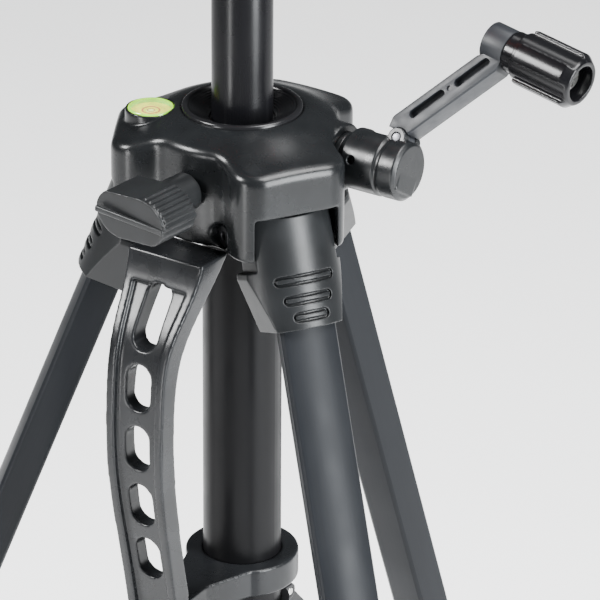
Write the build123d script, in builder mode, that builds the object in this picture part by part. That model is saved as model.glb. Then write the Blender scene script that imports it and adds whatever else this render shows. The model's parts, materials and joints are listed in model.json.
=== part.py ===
from build123d import *
import os
from math import cos, hypot, pi, radians, sin

os.makedirs("parts", exist_ok=True)

# Laser level on a geared tripod, standing with its legs spread and their lower sections pushed in.
# Frame: origin on the floor under the column's axis, +Z up, -Y the front with the lock knob and
# the carry handle, +X the side with the crank. Millimetres and degrees.

# ---- Driving dimensions ----
LEGS = {"right": -30, "left": -150, "rear": 90}  # direction of each leg seen from above
spread = 21.3  # leg's tilt from the vertical

column_r = 12.5
column_length = 236
column_raise = 92  # height of the column's top over the canopy
sleeve_r = 16.4
sleeve_wall = 1.6
sleeve_top = -28  # heights below are measured from the canopy's top ring
sleeve_bottom = -254

canopy_depth = 46
lobe_reach = 52
lobe_half = 24.5
lobe_corner = 11
notch_r = 39.2
channel_half = 18.4  # gap for a leg's knuckle, half of its width
channel_inner = 20.8
skirt_z = -27.5

pivot_r = 32.7  # leg pivot, from the column's axis
pivot_z = -39.6
centre_offset = 9.5  # leg's centre line, outward of its pivot
pin_r = 3.0
shaft_clearance = 0.05

knuckle_end = 41  # along the leg, from the pivot
tube_start = 14
tube_end = 432
tube_wall = 1.2
lower_inset = 1.6  # how much smaller the lower tube is, all round
lower_start = 262
lower_end = 492
lock_start = 412
lock_end = 454
foot_end = 506
foot_r = 11.0
foot_flat = 1.0  # depth of the worn flat that meets the floor

hinge_r = 25.7  # brace hinges, from the column's axis
hub_z = -232
brace_width = 8.6
lug_gap_half = 4.6
lug_wall = 3.0
lug_r = 3.6
brace_pin_r = 1.6

crank_y = 16.0
crank_z = -17.5
crank_lean = 32  # how far the crank is turned back from straight up
shaft_r = 3.0
gear_module = 0.75
gear_teeth = 12
barrel_r = 12.6
elbow_x, elbow_h = 63.4, 11.6  # elbow pin, along and above the crank's axis
arm_lean = 41.5  # how far the arm leans out from the elbow
arm_length = 51
ear_r = 4.0
grip_x, grip_h = 98.5, 57.3  # where the grip starts, along and above the crank's axis
grip_tilt = 10
grip_length = 34

knob_z = -22.5
knob_front = -76
knob_back = -56
neck_back = 41
knob_turn = 5

vial_r_out = 37  # level's place on the left lobe

head_r = 29
laser_base_z = 13.5  # underside of the laser level over the column's top

cos_t, sin_t = cos(radians(spread)), sin(radians(spread))
deck_z = (
    -pivot_z - centre_offset * sin_t + foot_end * cos_t
    - foot_r * cos_t + foot_r - foot_flat
)  # canopy's top ring over the floor
hinge_drop = pivot_z - hub_z  # the brace arm is as long as this, so its angle is twice the leg's


def finish_part(part, label):
    """Label a finished piece and write it to its own file."""
    part.label = label
    export_step(part, f"parts/{label}.step")


def level(height, x=0.0, y=0.0):
    """Horizontal plane at a height over the canopy's top ring."""
    return Plane((x, y, deck_z + height))


def radial(angle):
    """Unit vector away from the column at an angle seen from above."""
    return Vector(cos(radians(angle)), sin(radians(angle)), 0)


def side(angle):
    """Unit vector across a leg, a quarter turn on from radial()."""
    return Vector(-sin(radians(angle)), cos(radians(angle)), 0)


def tilted_plane(angle, origin_r, height, tilt, offset=0.0, along=0.0):
    """Plane across a bar that hangs at a tilt: x across it, y outward, z down the bar."""
    out, up = radial(angle), Vector(0, 0, 1)
    down_bar = out * sin(radians(tilt)) - up * cos(radians(tilt))
    outward = out * cos(radians(tilt)) + up * sin(radians(tilt))
    origin = out * origin_r + up * (deck_z + height) + outward * offset + down_bar * along
    return Plane(origin, x_dir=side(angle), z_dir=down_bar)


def leg_plane(angle, along=0.0):
    """Section plane of a leg at a distance from its pivot, centred on the leg's centre line."""
    return tilted_plane(angle, pivot_r, pivot_z, spread, centre_offset, along)


def leg_side_plane(angle, across=0.0):
    """Plane that cuts a leg lengthwise: x outward, y down the leg, z across it."""
    section = leg_plane(angle)
    origin = section.origin + section.x_dir * across
    return Plane(origin, x_dir=section.y_dir, z_dir=section.x_dir)


def leg_face_plane(angle, outward=0.0):
    """Plane in front of a leg: x across it, y up the leg."""
    section = leg_plane(angle)
    origin = section.origin + section.y_dir * outward
    return Plane(origin, x_dir=section.x_dir, z_dir=section.y_dir)


# Half of a leg tube's outline, front facet first: x across the leg, y outward.
TUBE_HALF = [(4.35, 8.0), (11.3, 6.2), (12.4, 4.6), (8.8, -7.0), (7.2, -8.0)]
TUBE_OUTLINE = TUBE_HALF + [(-x, y) for x, y in reversed(TUBE_HALF)]


def tube_profile(grow):
    """Leg tube's outline, made larger or smaller all round, as a sketch on the XY plane."""
    with BuildSketch() as outline:
        with BuildLine():
            Polyline(*TUBE_OUTLINE, close=True)
        make_face()
        if grow:
            offset(amount=grow, kind=Kind.INTERSECTION)
    return outline.sketch


def tube_solid(angle, start, end, outer, inner=None):
    """Length of leg-shaped tube, solid or hollow."""
    with BuildPart() as tube:
        with BuildSketch(leg_plane(angle, start)):
            add(tube_profile(outer))
            if inner is not None:
                add(tube_profile(inner), mode=Mode.SUBTRACT)
        extrude(amount=end - start)
    return tube.part


def cylinder_along(origin, direction, radius, length, hole=0.0):
    """Round bar or bush from a point along a direction."""
    with BuildPart() as bar:
        with BuildSketch(Plane(origin, z_dir=direction)):
            Circle(radius)
            if hole:
                Circle(hole, mode=Mode.SUBTRACT)
        extrude(amount=length)
    return bar.part


# ---- Canopy: the three-lobed shoulder casting ----
def canopy_outline(grow=0.0):
    """The canopy seen from above: three lobes run into a round middle by wide scoops."""
    with BuildSketch() as outline:
        Circle(notch_r)
        with PolarLocations(lobe_reach / 2, 3, start_angle=-30):
            Rectangle(lobe_reach, 2 * lobe_half)
        corners = [v for v in outline.vertices() if hypot(v.X, v.Y) > lobe_reach]
        fillet(corners, radius=lobe_corner)
        scoops = [v for v in outline.vertices() if abs(hypot(v.X, v.Y) - notch_r) < 0.01]
        fillet(scoops, radius=10)
        if grow:
            offset(amount=grow)
    return outline.sketch


def pivot_point(angle):
    """Leg's pivot, in the middle of its knuckle."""
    return radial(angle) * pivot_r + Vector(0, 0, deck_z + pivot_z)


edge_round = 4.6
boss_top = -1.4
boss_r = 10.6
crank_boss_r, crank_boss_x = 12.8, 39.0
vial_centre = radial(LEGS["left"]) * vial_r_out

with BuildPart() as canopy:
    with BuildSketch(level(-canopy_depth)):
        add(canopy_outline())
    extrude(amount=canopy_depth + 4)
    # Top surface: flat near the column, then falling away to the lobes like a bell.
    with BuildSketch(Plane.XZ):
        with BuildLine():
            Line((0, deck_z), (25, deck_z))
            Spline(
                (25, deck_z), (38, deck_z - 4.4), (58, deck_z - 9.4),
                tangents=[(1, -0.1), (1, -0.05)],
            )
            Polyline((58, deck_z - 9.4), (58, deck_z - 60), (0, deck_z - 60), (0, deck_z))
        make_face()
    revolve(axis=Axis.Z, mode=Mode.INTERSECT)
    top_edges = [
        e for e in canopy.edges()
        if e.center().Z > deck_z - 14 and hypot(e.center().X, e.center().Y) > 34
    ]
    fillet(top_edges, radius=edge_round)
    # Round boss that holds the crank's bearing.
    with BuildSketch(Plane.YZ.offset(20)):
        with Locations((crank_y, deck_z + crank_z)):
            Circle(crank_boss_r)
    extrude(amount=crank_boss_x - 20)
    boss_rim = canopy.edges().filter_by(GeomType.CIRCLE).group_by(Axis.X)[-1]
    fillet(boss_rim, radius=1.6)
    with BuildSketch(level(-30, vial_centre.X, vial_centre.Y)):
        Circle(boss_r)
    extrude(amount=30 + boss_top)
    # Bores for the column, its guide bush, the top ring and the sleeve.
    with BuildSketch(level(-canopy_depth)):
        Circle(sleeve_r)
    extrude(amount=canopy_depth + sleeve_top, mode=Mode.SUBTRACT)
    with BuildSketch(level(sleeve_top)):
        Circle(column_r + 0.7)
    extrude(amount=-sleeve_top + 2, mode=Mode.SUBTRACT)
    with BuildSketch(level(-11)):
        Circle(sleeve_r)
    extrude(amount=13, mode=Mode.SUBTRACT)
    with BuildSketch(level(-5)):
        Circle(24.6)
    extrude(amount=7, mode=Mode.SUBTRACT)
    # Channels for the knuckles, open at the front under the skirt.
    for angle in LEGS.values():
        channel_plane = Plane(
            radial(angle) * channel_inner + Vector(0, 0, deck_z - canopy_depth - 5),
            x_dir=radial(angle), z_dir=(0, 0, 1),
        )
        with BuildSketch(channel_plane):
            Rectangle(60, 2 * channel_half, align=(Align.MIN, Align.CENTER))
        extrude(amount=canopy_depth + 5 + skirt_z, mode=Mode.SUBTRACT)
        pivot = pivot_point(angle)
        across = side(angle)
        add(cylinder_along(pivot - across * 40, across, pin_r, 80), mode=Mode.SUBTRACT)
        for sign in (-1, 1):
            start = pivot + across * (21.5 * sign)
            add(cylinder_along(start, across * sign, 5.0, 30), mode=Mode.SUBTRACT)
    # Pinion pocket, shaft bore and the seat of its outer bearing.
    with BuildSketch(Plane.YZ.offset(-4)):
        with Locations((crank_y, deck_z + crank_z)):
            Rectangle(16, 13)
    extrude(amount=8, mode=Mode.SUBTRACT)
    crank_axis_start = Vector(-12, crank_y, deck_z + crank_z)
    add(cylinder_along(crank_axis_start, (1, 0, 0), shaft_r + shaft_clearance, 80), mode=Mode.SUBTRACT)
    add(cylinder_along(crank_axis_start + Vector(40, 0, 0), (1, 0, 0), 6, 11), mode=Mode.SUBTRACT)
    add(cylinder_along(crank_axis_start + Vector(51, 0, 0), (1, 0, 0), 9.5, 30), mode=Mode.SUBTRACT)
    # Tapped bore of the column's lock, at the front.
    lock_bore_start = Vector(0, -60, deck_z + knob_z)
    add(cylinder_along(lock_bore_start, (0, 1, 0), 3 + shaft_clearance, 60), mode=Mode.SUBTRACT)
    # Seat of the round level.
    with BuildSketch(level(boss_top - 6.5, vial_centre.X, vial_centre.Y)):
        Circle(9.4)
    extrude(amount=8, mode=Mode.SUBTRACT)
    # Screw holes of the carry handle.
    for x in (-9, 9):
        screw_top = Vector(x, -32, deck_z - canopy_depth)
        add(cylinder_along(screw_top, (0, 0, 1), 1.6, 10), mode=Mode.SUBTRACT)
finish_part(canopy.part, "canopy")

# Top ring: ridged funnel round the column.
with BuildPart() as collar_ring:
    with BuildSketch(Plane.XZ):
        with BuildLine():
            Polyline(
                (13.2, deck_z - 5), (24.6, deck_z - 5), (24.6, deck_z + 0.6),
                (24.0, deck_z + 1.2), (22.6, deck_z + 1.2), (21.6, deck_z + 0.2),
                (20.6, deck_z + 0.2), (20.2, deck_z - 0.9), (18.6, deck_z - 0.9),
                (18.2, deck_z - 2.1), (16.4, deck_z - 2.1), (16.0, deck_z - 3.2),
                (13.2, deck_z - 3.8), close=True,
            )
        make_face()
    revolve(axis=Axis.Z)
finish_part(collar_ring.part, "collar_ring")

with BuildPart() as guide_bush:
    with BuildSketch(level(-11)):
        Circle(sleeve_r)
        Circle(column_r + shaft_clearance, mode=Mode.SUBTRACT)
    extrude(amount=6)
finish_part(guide_bush.part, "guide_bush")

# ---- Round level on the left lobe ----
vial_floor = boss_top - 6.5
with BuildPart() as level_cup:
    with BuildSketch(level(vial_floor, vial_centre.X, vial_centre.Y)):
        Circle(9.4)
    extrude(amount=6.5)
    with BuildSketch(level(vial_floor + 1.5, vial_centre.X, vial_centre.Y)):
        Circle(8.4)
    extrude(amount=6, mode=Mode.SUBTRACT)
    rim_edges = level_cup.edges().group_by(Axis.Z)[-1]
    chamfer(rim_edges, length=0.4)
finish_part(level_cup.part, "level_cup")

with BuildPart() as level_fluid:
    with BuildSketch(level(vial_floor + 1.5, vial_centre.X, vial_centre.Y)):
        Circle(8.4)
    extrude(amount=3.2)
    with BuildSketch(level(vial_floor + 4.1, vial_centre.X, vial_centre.Y)):
        Circle(2.2)
    extrude(amount=1, mode=Mode.SUBTRACT)
finish_part(level_fluid.part, "level_fluid")

with BuildPart() as level_bubble:
    with BuildSketch(level(vial_floor + 4.1, vial_centre.X, vial_centre.Y)):
        Circle(2.2)
    extrude(amount=0.6)
finish_part(level_bubble.part, "level_bubble")

with BuildPart() as level_lens:
    with BuildSketch(level(vial_floor + 4.7, vial_centre.X, vial_centre.Y)):
        Circle(8.4)
    extrude(amount=1.3)
    fillet(level_lens.edges().group_by(Axis.Z)[-1], radius=0.5)
finish_part(level_lens.part, "level_lens")

# ---- Fixed sleeve under the canopy ----
with BuildPart() as center_sleeve:
    with BuildSketch(level(sleeve_bottom)):
        Circle(sleeve_r)
        Circle(sleeve_r - sleeve_wall, mode=Mode.SUBTRACT)
    extrude(amount=sleeve_top - sleeve_bottom)
finish_part(center_sleeve.part, "center_sleeve")

eye_r = 5.0
with BuildPart() as sleeve_cap:
    with BuildSketch(level(sleeve_bottom - 6)):
        Circle(sleeve_r + 0.8)
    extrude(amount=6)
    with BuildSketch(level(sleeve_bottom)):
        Circle(sleeve_r - sleeve_wall)
    extrude(amount=7)
    fillet(sleeve_cap.edges().group_by(Axis.Z)[0], radius=1.5)
    with BuildSketch(Plane.YZ.offset(-3)):
        with Locations((0, deck_z + sleeve_bottom - 13)):
            Circle(9)
            Rectangle(18, 12, align=(Align.CENTER, Align.MIN))
    extrude(amount=6)
    with BuildSketch(Plane.YZ.offset(-4)):
        with Locations((0, deck_z + sleeve_bottom - 13)):
            Circle(eye_r)
    extrude(amount=8, mode=Mode.SUBTRACT)
finish_part(sleeve_cap.part, "sleeve_cap")

# ---- Carry handle: bowed strap with five finger slots and a ring on the sleeve ----
# Distance in front of the column, or half of the width, against height.
HANDLE_FRONT = [
    (54.2, -46.4), (58.4, -57), (72.2, -79), (76.7, -105), (77.3, -128), (73.2, -160), (64.6, -205),
]
HANDLE_BACK = [
    (36, -46.4), (44.5, -58.5), (61.9, -82.9), (66.8, -100), (67.7, -122), (65.1, -149), (56.5, -194),
]
HANDLE_WIDTH = [
    (18.3, -46.4), (17.2, -57), (14.6, -79), (14.0, -110), (13.7, -130), (13.0, -165), (12.8, -213),
]
slot_heights = [-71.5, -97.5, -124, -150.5, -177]
ring_low, ring_high = -213.0, -200.5
ring_r = 23.8
channel_depth = 2.6


def handle_points(points, shift=0.0):
    """Profile points (distance, height) as (y, z) on the YZ plane, in front of the column."""
    return [(-(r - shift), deck_z + z) for r, z in points]


def handle_side_profile(front_shift=0.0, back=HANDLE_BACK, back_shift=0.0):
    """Closed side view of the strap between its front and back curves."""
    front = handle_points(HANDLE_FRONT, front_shift)
    rear = handle_points(back, back_shift)
    foot = (-57.0, deck_z + ring_low)
    with BuildSketch(Plane.YZ.offset(-20)) as profile:
        with BuildLine():
            Spline(*front)
            Polyline(front[-1], (-(61.8 - front_shift), deck_z + ring_low), foot, rear[-1])
            Spline(*reversed(rear))
            Line(rear[0], front[0])
        make_face()
    return profile.sketch


def handle_front_view(inset, top, bottom):
    """Front view of the strap, narrower by an inset at each side."""
    right = [(w - inset, deck_z + z) for w, z in HANDLE_WIDTH]
    left = [(-x, z) for x, z in reversed(right)]
    with BuildSketch(Plane.XZ.offset(20)) as view:
        with BuildLine():
            Spline(*right)
            Line(right[-1], left[0])
            Spline(*left)
            Line(left[-1], right[0])
        make_face()
        with Locations((0, deck_z + top)):
            Rectangle(80, 60, align=(Align.CENTER, Align.MIN), mode=Mode.SUBTRACT)
        with Locations((0, deck_z + bottom)):
            Rectangle(80, 60, align=(Align.CENTER, Align.MAX), mode=Mode.SUBTRACT)
    return view.sketch


with BuildPart() as channel_cut:
    add(handle_side_profile(front_shift=-10, back=HANDLE_FRONT, back_shift=channel_depth))
    extrude(amount=40, dir=(1, 0, 0))
    add(handle_front_view(4.2, -58, -206))
    extrude(amount=80, dir=(0, -1, 0), mode=Mode.INTERSECT)

with BuildPart() as carry_handle:
    add(handle_side_profile())
    extrude(amount=40, dir=(1, 0, 0))
    add(handle_front_view(0.0, -40, -230))
    extrude(amount=80, dir=(0, -1, 0), mode=Mode.INTERSECT)
    add(channel_cut.part, mode=Mode.SUBTRACT)
    for index, height in enumerate(slot_heights):
        slot_length = 25 if index == 0 else 19.5
        with BuildSketch(Plane.XZ.offset(40)):
            with Locations((0, deck_z + height + (2.0 if index == 0 else 0.0))):
                SlotOverall(slot_length, 11.5, rotation=90)
        extrude(amount=60, mode=Mode.SUBTRACT)
    # Web and ring that hold the strap's foot to the sleeve.
    with BuildSketch(level(ring_low)):
        Circle(ring_r)
        with BuildLine():
            Polyline(
                (-11.5, -60), (-9, -50), (-8.5, -38), (-17.5, -14), (17.5, -14), (8.5, -38), (9, -50),
                (11.5, -60), close=True,
            )
        make_face()
        Circle(sleeve_r, mode=Mode.SUBTRACT)
    extrude(amount=ring_high - ring_low)
finish_part(carry_handle.part, "carry_handle")

with BuildPart() as handle_screws:
    for x in (-9, 9):
        with BuildSketch(level(-canopy_depth - 0.4, x, -32)):
            Circle(1.6)
        extrude(amount=9)
finish_part(handle_screws.part, "handle_screws")

# ---- Leg pivots ----
with BuildPart() as leg_pivot_screws:
    for angle in LEGS.values():
        pivot, across = pivot_point(angle), side(angle)
        add(cylinder_along(pivot - across * 21.5, across, pin_r, 43))
        with BuildPart(mode=Mode.PRIVATE) as head:
            with BuildSketch(Plane(pivot - across * 24, z_dir=across)):
                Circle(4.4)
                RegularPolygon(2.0, 6, mode=Mode.SUBTRACT)
            extrude(amount=2.5)
        add(head.part)
finish_part(leg_pivot_screws.part, "leg_pivot_screws")

# ---- Brace hub on the sleeve ----
with BuildPart() as brace_hub:
    with BuildSketch(level(hub_z - 7)):
        Circle(20.2)
        Circle(sleeve_r, mode=Mode.SUBTRACT)
    extrude(amount=14)
    for angle in LEGS.values():
        for sign in (-1, 1):
            origin = side(angle) * (sign * lug_gap_half) + Vector(0, 0, deck_z + hub_z)
            with BuildSketch(Plane(origin, x_dir=radial(angle), z_dir=side(angle) * sign)):
                with Locations((hinge_r, 0)):
                    Circle(lug_r)
                with Locations((18.2, 0)):
                    Rectangle(hinge_r - 18.2, 2 * lug_r, align=(Align.MIN, Align.CENTER))
            extrude(amount=lug_wall)
        axis_start = radial(angle) * hinge_r - side(angle) * 10 + Vector(0, 0, deck_z + hub_z)
        add(cylinder_along(axis_start, side(angle), brace_pin_r, 20), mode=Mode.SUBTRACT)
finish_part(brace_hub.part, "brace_hub")

with BuildPart() as brace_hub_pins:
    pin_half = lug_gap_half + lug_wall
    for angle in LEGS.values():
        axis_start = radial(angle) * hinge_r - side(angle) * pin_half + Vector(0, 0, deck_z + hub_z)
        add(cylinder_along(axis_start, side(angle), brace_pin_r, 2 * pin_half))
finish_part(brace_hub_pins.part, "brace_hub_pins")

# ---- Column lock: a wing knob on a threaded stud ----
with BuildPart() as lock_knob:
    knob_plane = Plane((0, knob_back, deck_z + knob_z), x_dir=(1, 0, 0), z_dir=(0, -1, 0))
    knob_plane = knob_plane.rotated((0, 0, -knob_turn))
    with BuildSketch(knob_plane):
        with BuildLine():
            for sign in (1, -1):
                ThreePointArc((-17.3 * sign, 0), (-15.8 * sign, 5.4 * sign), (-12 * sign, 8.8 * sign))
                Line((-12 * sign, 8.8 * sign), (4.6 * sign, 9.8 * sign))
                ThreePointArc((4.6 * sign, 9.8 * sign), (13.6 * sign, 6.4 * sign), (17.3 * sign, 0))
        make_face()
    extrude(amount=knob_back - knob_front)
    fillet(lock_knob.edges().group_by(Axis.Y)[0], radius=1.0)
    # Ridge all round the middle, and ribs on the two swept ends.
    with BuildSketch(knob_plane):
        SlotOverall(36.2, 3.0)
    extrude(amount=knob_back - knob_front - 0.5)
    rib_points = [(6.6, 9.5), (8.9, 8.9), (11.0, 8.0), (12.8, 6.9), (14.3, 5.5), (15.6, 3.9), (16.6, 2.3)]
    for sign in (1, -1):
        with BuildSketch(knob_plane):
            with Locations(*[(x * sign, y * sign) for x, y in rib_points]):
                Circle(0.8)
        extrude(amount=knob_back - knob_front - 1.6)
    with BuildSketch(knob_plane):
        Circle(8)
    extrude(amount=knob_back + neck_back)
    stud_hole = Vector(0, knob_back + 20, deck_z + knob_z)
    add(cylinder_along(stud_hole, (0, -1, 0), 3.0, 30), mode=Mode.SUBTRACT)
finish_part(lock_knob.part, "lock_knob")

with BuildPart() as lock_stud:
    add(cylinder_along(Vector(0, -12.9, deck_z + knob_z), (0, -1, 0), 3.0, -12.9 - knob_back + 10))
finish_part(lock_stud.part, "lock_stud")

# ---- Crank drive ----
crank_axis = Vector(0, crank_y, deck_z + crank_z)
lean_up = Vector(0, sin(radians(crank_lean)), cos(radians(crank_lean)))
pin_dir = Vector(0, -cos(radians(crank_lean)), sin(radians(crank_lean)))


def crank_plane(out=0.0):
    """Plane of the crank's swing: x away from the canopy, y along the crank, z along its pin."""
    return Plane(crank_axis + pin_dir * out, x_dir=(1, 0, 0), z_dir=pin_dir)


with BuildPart() as crank_bearing:
    bearing_start = crank_axis + Vector(28, 0, 0)
    add(cylinder_along(bearing_start, (1, 0, 0), 6, 11, hole=shaft_r + shaft_clearance))
    flange_start = bearing_start + Vector(11, 0, 0)
    add(cylinder_along(flange_start, (1, 0, 0), 9.5, 2.2, hole=shaft_r + shaft_clearance))
finish_part(crank_bearing.part, "crank_bearing")

pitch_r = gear_module * gear_teeth / 2
tooth_pitch = pi * gear_module
gear_root_r = pitch_r - 1.05 * gear_module
gear_tip_r = pitch_r + 0.62 * gear_module
with BuildPart() as pinion_shaft:
    add(cylinder_along(crank_axis + Vector(-11, 0, 0), (1, 0, 0), shaft_r, 65))
    with BuildSketch(Plane(crank_axis + Vector(-2.6, 0, 0), x_dir=(0, 1, 0), z_dir=(1, 0, 0))):
        Circle(gear_root_r)
        with PolarLocations(0, gear_teeth, start_angle=180):
            Polygon(
                (gear_root_r - 0.3, -0.66), (pitch_r, -0.45), (gear_tip_r, -0.20),
                (gear_tip_r, 0.20), (pitch_r, 0.45), (gear_root_r - 0.3, 0.66), align=None,
            )
    extrude(amount=5.2)
finish_part(pinion_shaft.part, "pinion_shaft")

hub_start, hub_end = 41.6, 61.0
with BuildPart() as crank_hub:
    # Barrel clamped on the shaft, then the block that carries the elbow pin.
    with BuildSketch(Plane(crank_axis, x_dir=(1, 0, 0), z_dir=pin_dir)):
        with BuildLine():
            Polyline(
                (hub_start, 0), (hub_start, 9.6), (hub_start + 3.2, barrel_r), (hub_end - 1.2, barrel_r),
                (hub_end - 0.6, 11.9), (hub_end + 0.6, 11.9), (hub_end + 1.2, barrel_r - 0.2),
                (hub_end + 8.0, barrel_r - 0.2), (hub_end + 9.4, 10.8), (hub_end + 9.4, 0), close=True,
            )
        make_face()
    revolve(axis=Axis(crank_axis, (1, 0, 0)))
    with BuildSketch(crank_plane(-7)):
        with BuildLine():
            Polyline(
                (57.5, 0), (57.5, 9.5), (59.4, elbow_h), (67.4, elbow_h), (69.8, 9.0), (70.8, -9),
                (57.5, -9), close=True,
            )
        make_face()
        with Locations((elbow_x, elbow_h)):
            Circle(ear_r)
    extrude(amount=14)
    # The barrel stays clear of the arm's swing.
    with BuildSketch(crank_plane(-7)):
        with Locations((elbow_x, elbow_h)):
            Circle(13)
            Circle(ear_r, mode=Mode.SUBTRACT)
            Rectangle(30, 30, align=(Align.CENTER, Align.MAX), mode=Mode.SUBTRACT)
    extrude(amount=14, mode=Mode.SUBTRACT)
    # Slot for the arm's tongue, elbow pin bore, shaft bore and grub screw bore.
    with BuildSketch(crank_plane(-2.9)):
        with Locations((elbow_x, elbow_h)):
            Circle(4.6)
            Rectangle(30, 30, align=(Align.CENTER, Align.MIN))
    extrude(amount=5.8, mode=Mode.SUBTRACT)
    elbow_point = crank_axis + Vector(elbow_x, 0, 0) + lean_up * elbow_h
    add(cylinder_along(elbow_point - pin_dir * 12, pin_dir, 1.8, 24), mode=Mode.SUBTRACT)
    add(cylinder_along(crank_axis + Vector(30, 0, 0), (1, 0, 0), shaft_r, 24), mode=Mode.SUBTRACT)
    grub_point = crank_axis + Vector(49.5, 0, 0)
    add(cylinder_along(grub_point, (0, -0.94, 0.34), 1.75, 20), mode=Mode.SUBTRACT)
finish_part(crank_hub.part, "crank_hub")

with BuildPart() as crank_grub_screw:
    with BuildSketch(Plane(grub_point + Vector(0, -0.94, 0.34) * 3.2, z_dir=(0, -0.94, 0.34))):
        Circle(1.75)
    extrude(amount=6.5)
    with BuildSketch(Plane(grub_point + Vector(0, -0.94, 0.34) * 7.7, z_dir=(0, -0.94, 0.34))):
        RegularPolygon(0.9, 6)
    extrude(amount=3, mode=Mode.SUBTRACT)
finish_part(crank_grub_screw.part, "crank_grub_screw")

with BuildPart() as crank_elbow_pin:
    add(cylinder_along(elbow_point - pin_dir * 7, pin_dir, 1.8, 14))
finish_part(crank_elbow_pin.part, "crank_elbow_pin")

# Crank arm: slotted bar from the elbow to the boss of the grip.
arm_dir = Vector(sin(radians(arm_lean)), cos(radians(arm_lean)))
grip_dir = Vector(cos(radians(grip_tilt)), -sin(radians(grip_tilt)))
grip_axis_dir = Vector(1, 0, 0) * grip_dir.X + lean_up * grip_dir.Y
boss_length = 10.4


def crank_point(x, h):
    """Point in the crank's plane as a place in the model."""
    return crank_axis + Vector(x, 0, 0) + lean_up * h


arm_plane = Plane(elbow_point, x_dir=Vector(arm_dir.X, 0, 0) + lean_up * arm_dir.Y, z_dir=pin_dir)
boss_start = crank_point(grip_x, grip_h) - grip_axis_dir * boss_length
with BuildPart() as crank_arm:
    with BuildSketch(Plane(arm_plane.origin - pin_dir * 5.6, x_dir=arm_plane.x_dir, z_dir=pin_dir)):
        with BuildLine():
            Polyline(
                (3.7, -1.3), (-1.0, 6.4), (3.0, 9.2), (arm_length - 6, 9.2),
                (arm_length + 3, 5.0), (arm_length + 1, -1.3), close=True,
            )
        make_face()
    extrude(amount=11.2)
    long_edges = Axis(arm_plane.origin, arm_plane.x_dir)
    chamfer(crank_arm.edges().filter_by(long_edges), length=0.6)
    # Long grooves in the arm's face, on both sides of a dimple.
    slot_plane = Plane(arm_plane.origin + pin_dir * 2.4, x_dir=arm_plane.x_dir, z_dir=pin_dir)
    with BuildSketch(slot_plane):
        with Locations((17.4, 4.6), (40.0, 4.2)):
            SlotOverall(17.5, 3.5)
    extrude(amount=6, mode=Mode.SUBTRACT)
    with BuildSketch(Plane(arm_plane.origin + pin_dir * 4.9, x_dir=arm_plane.x_dir, z_dir=pin_dir)):
        with Locations((28.6, 4.4)):
            Circle(1.1)
    extrude(amount=3, mode=Mode.SUBTRACT)
    # Round clearance for the hub's ears, and the tongue between them.
    add(cylinder_along(elbow_point - pin_dir * 8, pin_dir, ear_r + 0.35, 16), mode=Mode.SUBTRACT)
    add(cylinder_along(boss_start + grip_axis_dir * boss_length, grip_axis_dir, 16, 20), mode=Mode.SUBTRACT)
    with BuildSketch(Plane(arm_plane.origin - pin_dir * 2.6, x_dir=arm_plane.x_dir, z_dir=pin_dir)):
        Circle(3.6)
        Rectangle(8, 3.6, align=(Align.MIN, Align.MIN))
    extrude(amount=5.2)
    add(cylinder_along(elbow_point - pin_dir * 8, pin_dir, 1.8 + shaft_clearance, 16), mode=Mode.SUBTRACT)
    # Boss of the grip.
    add(cylinder_along(boss_start, grip_axis_dir, 8.3, boss_length))
    add(cylinder_along(boss_start - grip_axis_dir * 2, grip_axis_dir, 2.5, 30), mode=Mode.SUBTRACT)
finish_part(crank_arm.part, "crank_arm")

grip_start = boss_start + grip_axis_dir * (boss_length + 0.4)
with BuildPart() as grip_spindle:
    add(cylinder_along(boss_start, grip_axis_dir, 2.5, boss_length + 0.4 + grip_length - 5))
    add(cylinder_along(grip_start + grip_axis_dir * (grip_length - 7.3), grip_axis_dir, 4.6, 2.6))
finish_part(grip_spindle.part, "grip_spindle")

grip_plane = Plane(grip_start, x_dir=pin_dir, z_dir=grip_axis_dir)
with BuildPart() as crank_grip:
    with BuildSketch(grip_plane):
        Circle(8.6)
    extrude(amount=8)
    with BuildSketch(grip_plane.offset(5)):
        Circle(10.0)
    extrude(amount=grip_length - 5)
    with BuildSketch(grip_plane.offset(7)):
        Circle(11.7)
        with PolarLocations(12.8, 4, start_angle=45):
            Circle(5.2, mode=Mode.SUBTRACT)
    extrude(amount=grip_length - 7)
    with BuildSketch(Plane(grip_start, x_dir=grip_axis_dir, z_dir=pin_dir)):
        with BuildLine():
            Polyline(
                (0, 0), (0, 12.5), (grip_length - 4.5, 12.5), (grip_length, 9.2), (grip_length, 0), close=True,
            )
        make_face()
    revolve(axis=Axis(grip_start, grip_axis_dir), mode=Mode.INTERSECT)
    with BuildSketch(grip_plane.offset(grip_length - 7.7)):
        Circle(7.4)
    extrude(amount=12, mode=Mode.SUBTRACT)
    with BuildSketch(grip_plane):
        Circle(2.5 + shaft_clearance)
    extrude(amount=grip_length, mode=Mode.SUBTRACT)
finish_part(crank_grip.part, "crank_grip")

# ---- Column and head ----
column_bottom = column_raise - column_length
rack_half = 3.0
rack_tip_y, rack_root_y = 12.1, 10.7
with BuildPart() as center_column:
    with BuildSketch(level(column_bottom)):
        Circle(column_r)
        Circle(column_r - 3.4, mode=Mode.SUBTRACT)
    extrude(amount=column_length)
    with BuildSketch(level(column_bottom)):
        with Locations((0, 9.2)):
            Rectangle(2 * rack_half, 8, align=(Align.CENTER, Align.MIN))
    extrude(amount=column_length - 12, mode=Mode.SUBTRACT)
finish_part(center_column.part, "center_column")

rack_length = column_length - 12
tooth_count = int(rack_length / tooth_pitch) - 1
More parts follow.
